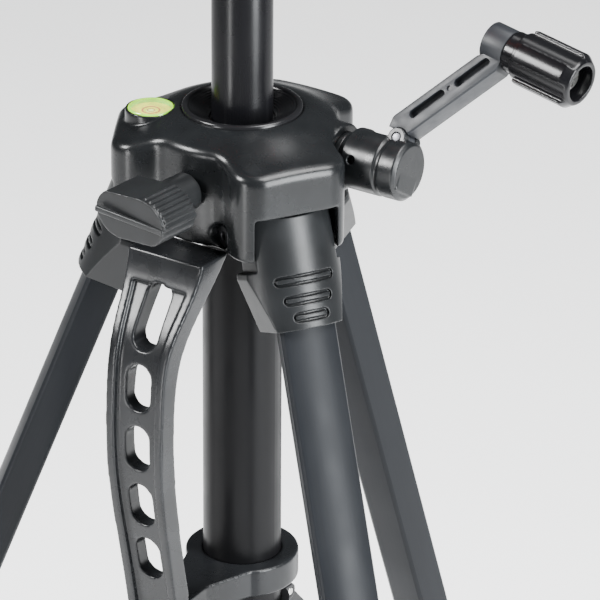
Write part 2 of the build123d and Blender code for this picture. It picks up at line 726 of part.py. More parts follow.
# A gap of the rack faces the pinion's tooth at rest.
rack_phase = (crank_z - column_bottom) % tooth_pitch
with BuildPart() as column_rack:
    with BuildSketch(Plane.YZ.offset(-rack_half)):
        with Locations((9.2, deck_z + column_bottom)):
            Rectangle(rack_tip_y - 9.2, rack_length, align=(Align.MIN, Align.MIN))
        with Locations(*[
            (0, deck_z + column_bottom + rack_phase + i * tooth_pitch)
            for i in range(1, tooth_count)
        ]):
            Polygon(
                (rack_tip_y + 0.1, 0.98), (rack_root_y, 0.52), (rack_root_y, -0.52),
                (rack_tip_y + 0.1, -0.98), align=None, mode=Mode.SUBTRACT,
            )
    extrude(amount=2 * rack_half)
finish_part(column_rack.part, "column_rack")

with BuildPart() as column_plug:
    with BuildSketch(level(column_bottom)):
        Circle(column_r - 3.4)
    extrude(amount=10)
    with BuildSketch(level(column_bottom)):
        Circle(4)
    extrude(amount=10, mode=Mode.SUBTRACT)
finish_part(column_plug.part, "column_plug")

with BuildPart() as head_plate:
    with BuildSketch(level(column_raise)):
        Circle(17)
    extrude(amount=5)
    with BuildSketch(level(column_raise + 4)):
        Circle(head_r)
    extrude(amount=7)
    fillet(head_plate.edges().filter_by(GeomType.CIRCLE).group_by(Axis.Z)[-1], radius=1.0)
    with BuildSketch(level(column_raise - 14)):
        Circle(column_r - 3.4)
    extrude(amount=14)
    with BuildSketch(level(column_raise - 20)):
        Circle(3.175)
    extrude(amount=60, mode=Mode.SUBTRACT)
finish_part(head_plate.part, "head_plate")

with BuildPart() as head_pad:
    with BuildSketch(level(column_raise + 11)):
        Circle(head_r - 3)
        Circle(8, mode=Mode.SUBTRACT)
    extrude(amount=2.2)
finish_part(head_pad.part, "head_pad")

with BuildPart() as mount_stud:
    with BuildSketch(level(column_raise - 12)):
        Circle(3.175)
    extrude(amount=32)
    chamfer(mount_stud.edges().group_by(Axis.Z)[-1], length=0.6)
finish_part(mount_stud.part, "mount_stud")

# ---- Laser level ----
laser_z = column_raise + laser_base_z
laser_x, laser_y, laser_h = 62.0, 78.0, 74.0
corner = 9.0

with BuildPart() as laser_base:
    with BuildSketch(level(laser_z)):
        Circle(22)
    extrude(amount=12)
    fillet(laser_base.edges().group_by(Axis.Z)[0], radius=0.8)
    with BuildSketch(level(laser_z - 1)):
        Circle(3.175 + shaft_clearance)
    extrude(amount=9, mode=Mode.SUBTRACT)
finish_part(laser_base.part, "laser_base")

body_z = laser_z + 12
with BuildPart() as laser_housing:
    with BuildSketch(level(body_z)):
        RectangleRounded(laser_x, laser_y, corner)
    extrude(amount=laser_h)
    fillet(laser_housing.edges().group_by(Axis.Z)[-1], radius=4)
    fillet(laser_housing.edges().group_by(Axis.Z)[0], radius=2)
    # Hollow for the works, window opening, battery bay and switch slot.
    with BuildSketch(level(body_z + 3)):
        RectangleRounded(laser_x - 8, laser_y - 8, corner - 4)
    extrude(amount=laser_h - 9, mode=Mode.SUBTRACT)
    with BuildSketch(Plane.XZ.offset(laser_y / 2 + 1)):
        with Locations((0, deck_z + body_z + 44)):
            RectangleRounded(24, 40, 5)
    extrude(amount=-8, mode=Mode.SUBTRACT)
    with BuildSketch(Plane.XZ.offset(-laser_y / 2 - 1)):
        with Locations((0, deck_z + body_z + 34)):
            RectangleRounded(36, 44, 3)
    extrude(amount=8, mode=Mode.SUBTRACT)
    with BuildSketch(Plane.YZ.offset(laser_x / 2 - 8)):
        with Locations((0, deck_z + body_z + 22)):
            Rectangle(26, 8.6)
    extrude(amount=10, mode=Mode.SUBTRACT)
finish_part(laser_housing.part, "laser_housing")

with BuildPart() as laser_bumper:
    for low in (body_z + 2.2, body_z + laser_h - 16):
        with BuildSketch(level(low)):
            RectangleRounded(laser_x + 5, laser_y + 5, corner + 2.5)
            RectangleRounded(laser_x, laser_y, corner, mode=Mode.SUBTRACT)
        extrude(amount=11)
    # Frame round the window, joined to both bands.
    with BuildSketch(Plane.XZ.offset(laser_y / 2)):
        with Locations((0, deck_z + body_z + 38)):
            RectangleRounded(36, 62, 6)
    extrude(amount=3.4)
    with BuildSketch(Plane.XZ.offset(laser_y / 2 + 5)):
        with Locations((0, deck_z + body_z + 44)):
            RectangleRounded(24, 40, 5)
    extrude(amount=-8, mode=Mode.SUBTRACT)
finish_part(laser_bumper.part, "laser_bumper")

with BuildPart() as laser_window:
    with BuildSketch(Plane.XZ.offset(laser_y / 2 - 0.4)):
        with Locations((0, deck_z + body_z + 44)):
            RectangleRounded(24, 40, 5)
    extrude(amount=-2.4)
finish_part(laser_window.part, "laser_window")

with BuildPart() as battery_door:
    with BuildSketch(Plane.XZ.offset(-laser_y / 2)):
        with Locations((0, deck_z + body_z + 34)):
            RectangleRounded(35.4, 43.4, 2.7)
    extrude(amount=2.6)
finish_part(battery_door.part, "battery_door")

with BuildPart() as laser_switch:
    switch_plane = Plane.YZ.offset(laser_x / 2 - 3.4)
    with BuildSketch(switch_plane):
        with Locations((-5.5, deck_z + body_z + 22)):
            Rectangle(12, 7.8)
    extrude(amount=3.4)
    with BuildSketch(switch_plane.offset(3.4)):
        with Locations(*[(-5.5 + i * 2.4, deck_z + body_z + 22) for i in range(-2, 3)]):
            Rectangle(1.2, 7.0)
    extrude(amount=1.6)
finish_part(laser_switch.part, "laser_switch")

# ---- Legs ----
gill_rows = [(21.0, 26.0), (29.0, 21.0), (36.0, 15.5)]  # place along the leg, width
knuckle_front = 11.8


def knuckle_section(grow=0.0):
    """Cross-section of a knuckle: a bowed front and straight sides."""
    with BuildSketch() as section:
        with BuildLine():
            ThreePointArc((-21.2 - grow, -1), (0, knuckle_front + grow), (21.2 + grow, -1))
            Polyline((21.2 + grow, -1), (21.2 + grow, -22), (-21.2 - grow, -22), (-21.2 - grow, -1))
        make_face()
    return section.sketch


def knuckle_skin(angle, outer, inner):
    """Thin bowed sheet along a knuckle's front, between two depths."""
    with BuildPart() as skin:
        with BuildSketch(leg_plane(angle, 10)):
            add(knuckle_section(outer))
            add(knuckle_section(inner), mode=Mode.SUBTRACT)
            with Locations((0, -22)):
                Rectangle(60, 20, mode=Mode.SUBTRACT)
        extrude(amount=40)
    return skin.part


def gill_bars(angle, height, shorten, skin):
    """The knuckle's three curved bars, cut out of a bowed sheet."""
    with BuildPart() as bars:
        with BuildSketch(leg_face_plane(angle)):
            for along, width in gill_rows:
                with Locations((0, -along)):
                    SlotOverall(width - shorten, height)
        extrude(amount=20)
        add(skin, mode=Mode.INTERSECT)
    return bars.part


def make_knuckle(angle):
    """Casting at the top of a leg, which turns on the pivot screw between the canopy's cheeks."""
    with BuildPart() as knuckle:
        with BuildSketch(leg_plane(angle, -14)):
            add(knuckle_section())
        extrude(amount=knuckle_end + 14)
        # Side view: round head on the pivot and a front that stops under the skirt.
        with BuildSketch(leg_side_plane(angle, -30)):
            with Locations((-centre_offset, 0)):
                Circle(11.3)
            with BuildLine():
                Polyline(
                    (14, -3.2), (14, knuckle_end), (-10.2, knuckle_end), (-10.2, 0),
                    (-centre_offset, -11.3), close=True,
                )
            make_face()
        extrude(amount=60, mode=Mode.INTERSECT)
        # Front view: a neck between the cheeks, then shoulders that taper to the tube.
        with BuildSketch(leg_face_plane(angle, -30)):
            with BuildLine():
                Polyline(
                    (17.6, 14), (17.6, -15.8), (20.6, -16.2), (20.8, -18.5), (14.4, -knuckle_end),
                    (-14.4, -knuckle_end), (-20.8, -18.5), (-20.6, -16.2), (-17.6, -15.8), (-17.6, 14),
                    close=True,
                )
            make_face()
        extrude(amount=60, mode=Mode.INTERSECT)
        with BuildSketch(leg_plane(angle, tube_start)):
            add(tube_profile(0))
        extrude(amount=knuckle_end, mode=Mode.SUBTRACT)
        add(gill_bars(angle, 4.2, 0.0, knuckle_skin(angle, 3.0, -1.5)), mode=Mode.SUBTRACT)
        add(gill_bars(angle, 1.7, 1.6, knuckle_skin(angle, -0.3, -1.7)))
        pivot, across = pivot_point(angle), side(angle)
        bore_r = pin_r + shaft_clearance
        add(cylinder_along(pivot - across * 30, across, bore_r, 60), mode=Mode.SUBTRACT)
    return knuckle.part


lever_hinge_out = 14.2
lever_hinge_along = lock_start + 7
lever_half = 8.6


def lever_hinge(angle):
    """Centre of a lock lever's hinge."""
    section = leg_plane(angle, lever_hinge_along)
    return section.origin + section.y_dir * lever_hinge_out


def make_lock_collar(angle):
    """Clamp at the bottom of the upper tube, with ears for the lever."""
    with BuildPart() as collar:
        add(tube_solid(angle, lock_start, tube_end, 2.8, 0.0))
        add(tube_solid(angle, tube_end, lock_end, 2.8, -lower_inset + 0.4))
        down_leg = Axis(leg_plane(angle).origin, leg_plane(angle).z_dir)
        chamfer(collar.edges().group_by(down_leg)[-1], length=0.8)
        for sign in (-1, 1):
            inner = (lever_half + 0.35) * sign
            with BuildSketch(leg_side_plane(angle, inner)):
                with Locations((lever_hinge_out, lever_hinge_along)):
                    Circle(4.0)
                    Rectangle(8.5, 8.0, align=(Align.MAX, Align.CENTER))
            extrude(amount=2.6 * sign)
        add(tube_solid(angle, lock_start - 5, lock_end + 5, 0.0), mode=Mode.SUBTRACT)
        add(tube_solid(angle, tube_end, lock_end, 2.0, -lower_inset + 0.4))
        across = side(angle)
        bore = cylinder_along(lever_hinge(angle) - across * 20, across, 1.6 + shaft_clearance, 40)
        add(bore, mode=Mode.SUBTRACT)
    return collar.part


def make_lock_lever(angle):
    """Flip lever of the leg lock, lying on the collar's front, with its own trunnions."""
    with BuildPart() as lever:
        with BuildSketch(leg_side_plane(angle, -lever_half)):
            with Locations((lever_hinge_out, lever_hinge_along)):
                Circle(2.9)
            with BuildLine():
                low, out = lever_hinge_along, lever_hinge_out
                ThreePointArc((out + 2.6, low - 1.2), (out + 2.8, low + 14), (out + 0.6, low + 30))
                Line((out + 0.6, low + 30), (out - 1.8, low + 29.6))
                ThreePointArc((out - 1.8, low + 29.6), (out - 0.4, low + 14), (out - 2.7, low + 1.0))
                Line((out - 2.7, low + 1.0), (out + 2.6, low - 1.2))
            make_face()
        extrude(amount=2 * lever_half)
        across = side(angle)
        trunnion_start = lever_hinge(angle) - across * (lever_half + 2.8)
        add(cylinder_along(trunnion_start, across, 1.6, 2 * lever_half + 5.6))
    return lever.part


def make_foot(angle):
    """Rubber foot, round underneath and worn flat where it meets the floor."""
    with BuildPart() as foot:
        section = leg_plane(angle, foot_end - foot_r)
        with BuildSketch(leg_plane(angle, lower_end - 14)):
            add(tube_profile(-lower_inset + 2.0))
        extrude(amount=15)
        with BuildSketch(leg_plane(angle, lower_end - 6)):
            Circle(foot_r + 0.5)
        with BuildSketch(leg_plane(angle, foot_end - foot_r)):
            Circle(foot_r)
        loft()
        with BuildSketch(leg_plane(angle, lower_end - 6)):
            Circle(foot_r + 0.5)
        extrude(amount=-3)
        with BuildPart(Location(section.origin), mode=Mode.PRIVATE) as ball:
            Sphere(foot_r)
        add(ball.part)
        with BuildSketch(leg_plane(angle, lower_end - 20)):
            add(tube_profile(-lower_inset))
        extrude(amount=20, mode=Mode.SUBTRACT)
        split(bisect_by=Plane.XY, keep=Keep.TOP)
    return foot.part


# Brace: each arm hangs on the hub and carries a shoe that slides on its leg.
arm_tilt = 2 * spread


def arm_plane_at(angle, along=0.0):
    """Section plane of a brace arm at a distance from its hub pin."""
    return tilted_plane(angle, hinge_r, hub_z, arm_tilt, 0.0, along)


def make_brace_arm(angle):
    """Moulded bar with an eye at each end and a channel on both faces."""
    section = arm_plane_at(angle)
    half = brace_width / 2
    side_view = Plane(section.origin - section.x_dir * half, x_dir=section.z_dir, z_dir=section.x_dir)
    front_view = Plane(section.origin - section.y_dir * 10, x_dir=section.z_dir, z_dir=section.y_dir)
    with BuildPart() as arm:
        with BuildSketch(side_view):
            with Locations((hinge_drop / 2, 0)):
                SlotCenterToCenter(hinge_drop, 6.4)
        extrude(amount=brace_width)
        for low in (12.2, 5.4):
            face = front_view.offset(low)
            with BuildSketch(face):
                with Locations((hinge_drop / 2, 0)):
                    SlotOverall(hinge_drop - 24, brace_width - 3.2)
            extrude(amount=2.4, mode=Mode.SUBTRACT)
        bore_r = brace_pin_r + shaft_clearance
        for along in (0, hinge_drop):
            start = section.origin + section.z_dir * along - section.x_dir * 10
            add(cylinder_along(start, section.x_dir, bore_r, 20), mode=Mode.SUBTRACT)
    return arm.part


def shoe_along():
    """Where the shoe's pin stands along the leg, from the leg's pivot."""
    out = hinge_r - pivot_r + hinge_drop * sin(radians(arm_tilt))
    down = hinge_drop + hinge_drop * cos(radians(arm_tilt))
    return out * sin_t + down * cos_t


def make_brace_shoe(angle):
    """Collar that slides on the leg, with two lugs and the arm's pin."""
    along = shoe_along()
    end = arm_plane_at(angle, hinge_drop).origin
    section = leg_plane(angle, along)
    with BuildPart() as shoe:
        add(tube_solid(angle, along - 11, along + 11, 3.2, 0.55))
        for sign in (-1, 1):
            lug_origin = end + section.x_dir * (lug_gap_half * sign)
            with BuildSketch(Plane(lug_origin, x_dir=section.y_dir, z_dir=section.x_dir)):
                Circle(lug_r)
                Rectangle(6.5, 2 * lug_r, align=(Align.MIN, Align.CENTER))
            extrude(amount=lug_wall * sign)
        add(tube_solid(angle, along - 14, along + 14, 0.55), mode=Mode.SUBTRACT)
        pin_start = end - section.x_dir * (lug_gap_half + 1)
        add(cylinder_along(pin_start, section.x_dir, brace_pin_r, 2 * lug_gap_half + 2))
    return shoe.part


for leg_name, leg_angle in LEGS.items():
    finish_part(make_knuckle(leg_angle), f"{leg_name}_knuckle")
    upper = tube_solid(leg_angle, tube_start, tube_end, 0.0, -tube_wall)
    finish_part(upper, f"{leg_name}_upper_tube")
    finish_part(make_lock_collar(leg_angle), f"{leg_name}_lock_collar")
    finish_part(make_lock_lever(leg_angle), f"{leg_name}_lock_lever")
    lower = tube_solid(leg_angle, lower_start, lower_end, -lower_inset, -lower_inset - tube_wall)
    finish_part(lower, f"{leg_name}_lower_tube")
    finish_part(make_foot(leg_angle), f"{leg_name}_foot")
    finish_part(make_brace_arm(leg_angle), f"{leg_name}_brace_arm")
    finish_part(make_brace_shoe(leg_angle), f"{leg_name}_brace_shoe")
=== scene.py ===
import json
from math import cos, pi, radians, sin

import bmesh
import bpy
from mathutils import Matrix, Vector


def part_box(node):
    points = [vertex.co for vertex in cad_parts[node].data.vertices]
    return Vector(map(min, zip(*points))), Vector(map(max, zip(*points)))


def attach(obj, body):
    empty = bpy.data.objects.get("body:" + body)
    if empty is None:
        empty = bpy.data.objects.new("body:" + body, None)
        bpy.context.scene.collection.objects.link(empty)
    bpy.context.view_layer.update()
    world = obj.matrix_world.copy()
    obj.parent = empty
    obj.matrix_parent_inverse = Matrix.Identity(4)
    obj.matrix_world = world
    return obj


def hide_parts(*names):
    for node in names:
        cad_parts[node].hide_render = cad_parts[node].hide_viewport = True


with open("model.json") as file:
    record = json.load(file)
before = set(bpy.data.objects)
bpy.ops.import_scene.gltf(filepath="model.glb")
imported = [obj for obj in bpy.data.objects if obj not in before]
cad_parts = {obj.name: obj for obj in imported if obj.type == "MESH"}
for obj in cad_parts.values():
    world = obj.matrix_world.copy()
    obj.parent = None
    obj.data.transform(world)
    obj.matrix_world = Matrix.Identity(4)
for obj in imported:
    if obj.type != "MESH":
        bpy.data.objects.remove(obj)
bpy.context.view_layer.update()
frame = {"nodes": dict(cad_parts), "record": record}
nodes = frame["nodes"]
bodies = frame["record"]["behaviour"]["bodies"]
body_of = {node: body for body, members in bodies.items() for node in members}

MM = 0.001
LEGS = {"right": -30, "left": -150, "rear": 90}  # direction of each leg seen from above, in degrees
SPREAD = 21.3  # leg's tilt from the vertical, in degrees
KNOB_TURN = 5  # knob's long axis from the level, in degrees
RING_LIP = 1.2 * MM  # how far the top ring stands over the canopy
FLOOR_SIZE = 16  # side of the square studio floor, in metres
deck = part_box("collar_ring")[1].z - RING_LIP


# ---- Camera: the photograph's long lens, looking down on the tripod's shoulder ----
AZIMUTH, ELEVATION, ROLL = radians(33.78), radians(25.15), radians(0.354)
DISTANCE = 1.915
LENS = 285.0
aim = Vector((38.2 * MM, -14.4 * MM, deck - 70.8 * MM))


def make_camera():
    """Camera on a sphere round its aim, level apart from the photograph's small roll."""
    right = Vector((cos(AZIMUTH), sin(AZIMUTH), 0))
    ahead = Vector((sin(AZIMUTH), -cos(AZIMUTH), 0))
    back = ahead * cos(ELEVATION) + Vector((0, 0, sin(ELEVATION)))
    up = back.cross(right)
    turn = Matrix((right, up, back)).transposed() @ Matrix.Rotation(ROLL, 3, "Z")
    camera = bpy.data.objects.new("photo_camera", bpy.data.cameras.new("photo_camera"))
    camera.data.lens = LENS
    camera.data.sensor_width = 36.0
    camera.data.clip_end = 50.0
    camera.matrix_world = Matrix.Translation(aim + back * DISTANCE) @ turn.to_4x4()
    bpy.context.scene.collection.objects.link(camera)
    bpy.context.scene.camera = camera


# ---- Node helpers ----
def new_material(name):
    """Empty node material with its tree and main shader."""
    material = bpy.data.materials.new(name)
    material.use_nodes = True
    return material, material.node_tree, material.node_tree.nodes["Principled BSDF"]


def object_vector(tree):
    """A piece's own coordinates, in metres."""
    return tree.nodes.new("ShaderNodeTexCoord").outputs["Object"]


def stretched(tree, vector, axis, stretch):
    """Coordinates squeezed along an axis, so that noise turns into streaks along it."""
    turn = tree.nodes.new("ShaderNodeMapping")
    turn.inputs["Rotation"].default_value = Vector(axis).rotation_difference(Vector((0, 0, 1))).to_euler()
    squeeze = tree.nodes.new("ShaderNodeMapping")
    squeeze.inputs["Scale"].default_value = (1, 1, 1 / stretch)
    tree.links.new(vector, turn.inputs["Vector"])
    tree.links.new(turn.outputs["Vector"], squeeze.inputs["Vector"])
    return squeeze.outputs["Vector"]


def noise(tree, vector, size, detail):
    """Noise with features of about the given size in metres."""
    node = tree.nodes.new("ShaderNodeTexNoise")
    node.inputs["Scale"].default_value = 1 / size
    node.inputs["Detail"].default_value = detail
    tree.links.new(vector, node.inputs["Vector"])
    return node.outputs[0]


def remap(tree, value, low, high, start=0.3, end=0.7):
    """Value between two limits, from the middle of a noise's range."""
    node = tree.nodes.new("ShaderNodeMapRange")
    node.inputs["From Min"].default_value = start
    node.inputs["From Max"].default_value = end
    node.inputs["To Min"].default_value = low
    node.inputs["To Max"].default_value = high
    tree.links.new(value, node.inputs["Value"])
    return node.outputs["Result"]


def two_tone(tree, value, first, second, start=0.35, end=0.65):
    """Colour that runs from one tone to another."""
    node = tree.nodes.new("ShaderNodeValToRGB")
    node.color_ramp.elements[0].position = start
    node.color_ramp.elements[0].color = (*first, 1)
    node.color_ramp.elements[1].position = end
    node.color_ramp.elements[1].color = (*second, 1)
    tree.links.new(value, node.inputs["Fac"])
    return node.outputs["Color"]


def worn_edges(tree, colour, tone, amount):
    """Colour that lightens along convex edges."""
    geometry = tree.nodes.new("ShaderNodeNewGeometry")
    edge = remap(tree, geometry.outputs["Pointiness"], 0.0, amount, 0.52, 0.60)
    mix = tree.nodes.new("ShaderNodeMix")
    mix.data_type = "RGBA"
    for socket in mix.inputs:
        if socket.type == "RGBA" and socket.name == "A":
            tree.links.new(colour, socket)
        if socket.type == "RGBA" and socket.name == "B":
            socket.default_value = (*tone, 1)
    tree.links.new(edge, mix.inputs["Factor"])
    return next(s for s in mix.outputs if s.type == "RGBA")


def relief(tree, shader, heights):
    """Stacked bump from (height, depth in metres) pairs, coarse first."""
    normal = None
    for height, depth in heights:
        node = tree.nodes.new("ShaderNodeBump")
        node.inputs["Distance"].default_value = depth
        node.inputs["Strength"].default_value = 1.0
        tree.links.new(height, node.inputs["Height"])
        if normal is not None:
            tree.links.new(normal, node.inputs["Normal"])
        normal = node.outputs["Normal"]
    tree.links.new(normal, shader.inputs["Normal"])


def shades(base, spread):
    """Darker and lighter version of a colour."""
    return [c * (1 - spread) for c in base], [min(c * (1 + spread), 1) for c in base]


# ---- Materials ----
def moulded(name, base, roughness, grain=0.35 * MM, depth=0.012 * MM, edge=None):
    """Injection-moulded plastic: fine tool grain, slow tone drift, handling sheen and pale edges."""
    material, tree, shader = new_material(name)
    place = object_vector(tree)
    colour = two_tone(tree, noise(tree, place, 22 * MM, 4), *shades(base, 0.22))
    colour = worn_edges(tree, colour, edge or [min(c * 2.6 + 0.006, 1) for c in base], 0.35)
    tree.links.new(colour, shader.inputs["Base Color"])
    handling = noise(tree, place, 9 * MM, 6)
    tree.links.new(remap(tree, handling, roughness - 0.02, roughness + 0.04), shader.inputs["Roughness"])
    flow = noise(tree, place, 14 * MM, 2)
    fine = noise(tree, place, grain, 2)
    relief(tree, shader, [(flow, 0.015 * MM), (fine, depth)])
    shader.inputs["Specular IOR Level"].default_value = 0.20
    return material


def anodised(name, base, roughness, axis, metallic, shine=0.2):
    """Anodised or painted metal with a fine drawn grain along an axis."""
    material, tree, shader = new_material(name)
    place = object_vector(tree)
    along = stretched(tree, place, axis, 90)
    drawn = noise(tree, along, 0.25 * MM, 3)
    drift = noise(tree, place, 30 * MM, 4)
    colour = two_tone(tree, drawn, *shades(base, 0.10))
    colour = worn_edges(tree, colour, [min(c * 1.7 + 0.005, 1) for c in base], 0.3)
    tree.links.new(colour, shader.inputs["Base Color"])
    tree.links.new(remap(tree, drift, roughness - 0.05, roughness + 0.07), shader.inputs["Roughness"])
    relief(tree, shader, [(drawn, 0.004 * MM), (noise(tree, place, 0.2 * MM, 1), 0.003 * MM)])
    shader.inputs["Specular IOR Level"].default_value = shine
    shader.inputs["Metallic"].default_value = metallic
    return material


def painted_cast(name, base, roughness, metallic):
    """Powder-painted casting: low orange peel with fine sparkle and worn edges."""
    material, tree, shader = new_material(name)
    place = object_vector(tree)
    colour = two_tone(tree, noise(tree, place, 0.5 * MM, 2), *shades(base, 0.14))
    colour = worn_edges(tree, colour, [min(c * 1.8 + 0.008, 1) for c in base], 0.35)
    tree.links.new(colour, shader.inputs["Base Color"])
    rubbed = noise(tree, place, 6 * MM, 6)
    tree.links.new(remap(tree, rubbed, roughness - 0.05, roughness + 0.08), shader.inputs["Roughness"])
    peel = noise(tree, place, 1.6 * MM, 2)
    sparkle = noise(tree, place, 0.3 * MM, 1)
    relief(tree, shader, [(peel, 0.02 * MM), (sparkle, 0.006 * MM)])
    shader.inputs["Specular IOR Level"].default_value = 0.25
    shader.inputs["Metallic"].default_value = metallic
    return material


def steel(name, base, roughness, axis=(0, 0, 1)):
    """Bare or zinc-plated steel with turning marks and dull patches."""
    material, tree, shader = new_material(name)
    place = object_vector(tree)
    marks = noise(tree, stretched(tree, place, axis, 25), 0.2 * MM, 3)
    stains = noise(tree, place, 4 * MM, 5)
    tree.links.new(two_tone(tree, stains, *shades(base, 0.18)), shader.inputs["Base Color"])
    tree.links.new(remap(tree, stains, roughness + 0.12, roughness - 0.04), shader.inputs["Roughness"])
    relief(tree, shader, [(marks, 0.005 * MM)])
    shader.inputs["Metallic"].default_value = 1.0
    return material


def rubber(name, base, roughness):
    """Rubber with a chalky bloom and a pebbled skin."""
    material, tree, shader = new_material(name)
    place = object_vector(tree)
    bloom = noise(tree, place, 7 * MM, 6)
    dusty = [c * 1.6 + 0.006 for c in base]
    tree.links.new(two_tone(tree, bloom, base, dusty, 0.4, 0.75), shader.inputs["Base Color"])
    tree.links.new(remap(tree, bloom, roughness - 0.08, roughness + 0.12), shader.inputs["Roughness"])
    pebbles = tree.nodes.new("ShaderNodeTexVoronoi")
    pebbles.inputs["Scale"].default_value = 1 / (0.7 * MM)
    tree.links.new(place, pebbles.inputs["Vector"])
    grit = noise(tree, place, 0.25 * MM, 2)
    relief(tree, shader, [(pebbles.outputs["Distance"], 0.03 * MM), (grit, 0.015 * MM)])
    shader.inputs["Specular IOR Level"].default_value = 0.35
    return material


def glowing_plastic(name, base, glow):
    """Bright dyed plastic that glows: on the round level's cup, fluid and bubble the glow is painted,
    standing in for light shining through from the sides; on the lamps it is their own light.
    """
    material, tree, shader = new_material(name)
    place = object_vector(tree)
    depth = noise(tree, place, 5 * MM, 3)
    colour = two_tone(tree, depth, *shades(base, 0.12))
    tree.links.new(colour, shader.inputs["Base Color"])
    # Emission in the plastic's own colour: painted glow on the level's parts, the lamps' own light on the
    # lamps.
    tree.links.new(colour, shader.inputs["Emission Color"])
    tree.links.new(remap(tree, depth, 0.12, 0.22), shader.inputs["Roughness"])
    shader.inputs["Emission Strength"].default_value = glow
    shader.inputs["Subsurface Weight"].default_value = 0.25
    shader.inputs["Subsurface Scale"].default_value = 2 * MM
    return material


def clear(name, base, alpha):
    """Clear or tinted window with faint wipe marks."""
    material, tree, shader = new_material(name)
    place = object_vector(tree)
    wipes = noise(tree, stretched(tree, place, (1, 0.4, 0.3), 12), 2 * MM, 5)
    tree.links.new(two_tone(tree, wipes, *shades(base, 0.05)), shader.inputs["Base Color"])
    tree.links.new(remap(tree, wipes, 0.03, 0.09), shader.inputs["Roughness"])
    shader.inputs["Alpha"].default_value = alpha
    shader.inputs["Coat Weight"].default_value = 0.5
    shader.inputs["Coat Roughness"].default_value = 0.02
    return material


def floor_material():
    """Matt pale floor with a slight mottle, with a faint glow so that it stays pale far from the lights."""
    material, tree, shader = new_material("studio_floor")
    place = object_vector(tree)
    tone = two_tone(tree, noise(tree, place, 0.3, 3), (0.93, 0.93, 0.93), (0.96, 0.96, 0.96))
    tree.links.new(tone, shader.inputs["Base Color"])
    tree.links.new(tone, shader.inputs["Emission Color"])
    shader.inputs["Emission Strength"].default_value = 0.35
    shader.inputs["Roughness"].default_value = 0.9
    shader.inputs["Specular IOR Level"].default_value = 0.1
    return material


# ---- Mesh helpers ----
def place_piece(name, mesh, body, material, replaced=()):
    """Link a finished mesh as a piece that moves with a body."""
    piece = bpy.data.objects.new(name, mesh)
    bpy.context.scene.collection.objects.link(piece)
    mesh.materials.clear()
    mesh.materials.append(material)
    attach(piece, body)
    if replaced:
        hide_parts(*replaced)
    return piece


def stand_in(name, mesh, node, material):
    """Piece that takes a node's place, with its body and the given material."""
    return place_piece(name, mesh, body_of[node], material, (node,))


def joined_copy(node):
    """A node's mesh with the seams between its faces closed and flat faces made whole."""
    mesh = nodes[node].data.copy()
    bm = bmesh.new()
    bm.from_mesh(mesh)
    bmesh.ops.remove_doubles(bm, verts=bm.verts, dist=0.002 * MM)
    bmesh.ops.dissolve_limit(bm, angle_limit=radians(0.6), verts=bm.verts, edges=bm.edges)
    bm.to_mesh(mesh)
    bm.free()
    return mesh


def settle(piece, sharp_angle):
    """Turn a piece's modifiers into its mesh and smooth its shading up to an angle."""
    graph = bpy.context.evaluated_depsgraph_get()
    mesh = bpy.data.meshes.new_from_object(piece.evaluated_get(graph))
    piece.modifiers.clear()
    piece.data = mesh
    mesh.shade_smooth()
    mesh.set_sharp_from_angle(angle=radians(sharp_angle))


def eased(node, material, width, segments=3):
    """Stand-in for a node whose sharp edges are rounded to a small radius."""
    piece = stand_in(node + "_eased", joined_copy(node), node, material)
    bevel = piece.modifiers.new("soft_edges", "BEVEL")
    bevel.width = width
    bevel.segments = segments
    bevel.limit_method = "ANGLE"
    bevel.angle_limit = radians(28)
    settle(piece, 40)


def cast(node, material, voxel, rounds, keep):
    """Stand-in for a node with the soft corners and blends of a moulding: a skin of voxels, smoothed in
    rounds and thinned to a share of its triangles."""
    piece = stand_in(node + "_cast", joined_copy(node), node, material)
    skin = piece.modifiers.new("skin", "REMESH")
    skin.mode = "VOXEL"
    skin.voxel_size = voxel
    rounding = piece.modifiers.new("rounding", "SMOOTH")
    rounding.factor = 0.5
    rounding.iterations = rounds
    thinning = piece.modifiers.new("thinning", "DECIMATE")
    thinning.ratio = keep
    settle(piece, 75)


def paint(node, material):
    """Give a node that is shown as it is its material."""
    nodes[node].data.materials.clear()
    nodes[node].data.materials.append(material)


def turned_frame(origin, axis):
    """Matrix that sends +Z to an axis and the origin to a point."""
    turn = Vector((0, 0, 1)).rotation_difference(Vector(axis)).to_matrix().to_4x4()
    return Matrix.Translation(Vector(origin)) @ turn


def lathe(profile, origin, axis, segments=96, radius_at=None):
    """Mesh turned from (radius, height) points; a closed profile makes a ring.
    radius_at(radius, height, angle) may change the radius round the turn."""
    bm = bmesh.new()
    rings = []
    for i in range(segments):
        angle = 2 * pi * i / segments
        ring = []
        for radius, height in profile:
            r = radius_at(radius, height, angle) if radius_at else radius
            ring.append(bm.verts.new((r * cos(angle), r * sin(angle), height)))
        rings.append(ring)
    count = len(profile)
    for i in range(segments):
        here, after = rings[i], rings[(i + 1) % segments]
        for j in range(count):
            k = (j + 1) % count
            bm.faces.new((here[j], after[j], after[k], here[k]))
    bmesh.ops.remove_doubles(bm, verts=bm.verts, dist=0.001 * MM)
    bmesh.ops.recalc_face_normals(bm, faces=bm.faces)
    mesh = bpy.data.meshes.new("turned")
    bm.to_mesh(mesh)
    bm.free()
    mesh.transform(turned_frame(origin, axis))
    mesh.shade_smooth()
    mesh.set_sharp_from_angle(angle=radians(38))
    return mesh


def block(size, origin, turn=None, bevel=0.4 * MM, segments=3):
    """Mesh of a box with rounded edges, centred on a point."""
    bm = bmesh.new()
    bmesh.ops.create_cube(bm, size=1, matrix=Matrix.Diagonal((*size, 1)))
    bmesh.ops.bevel(bm, geom=bm.edges[:], offset=bevel, segments=segments, profile=0.5, affect="EDGES")
    mesh = bpy.data.meshes.new("block")
    bm.to_mesh(mesh)
    bm.free()
    place = Matrix.Translation(Vector(origin))
    mesh.transform(place @ turn if turn else place)
    mesh.shade_smooth()
    mesh.set_sharp_from_angle(angle=radians(50))
    return mesh


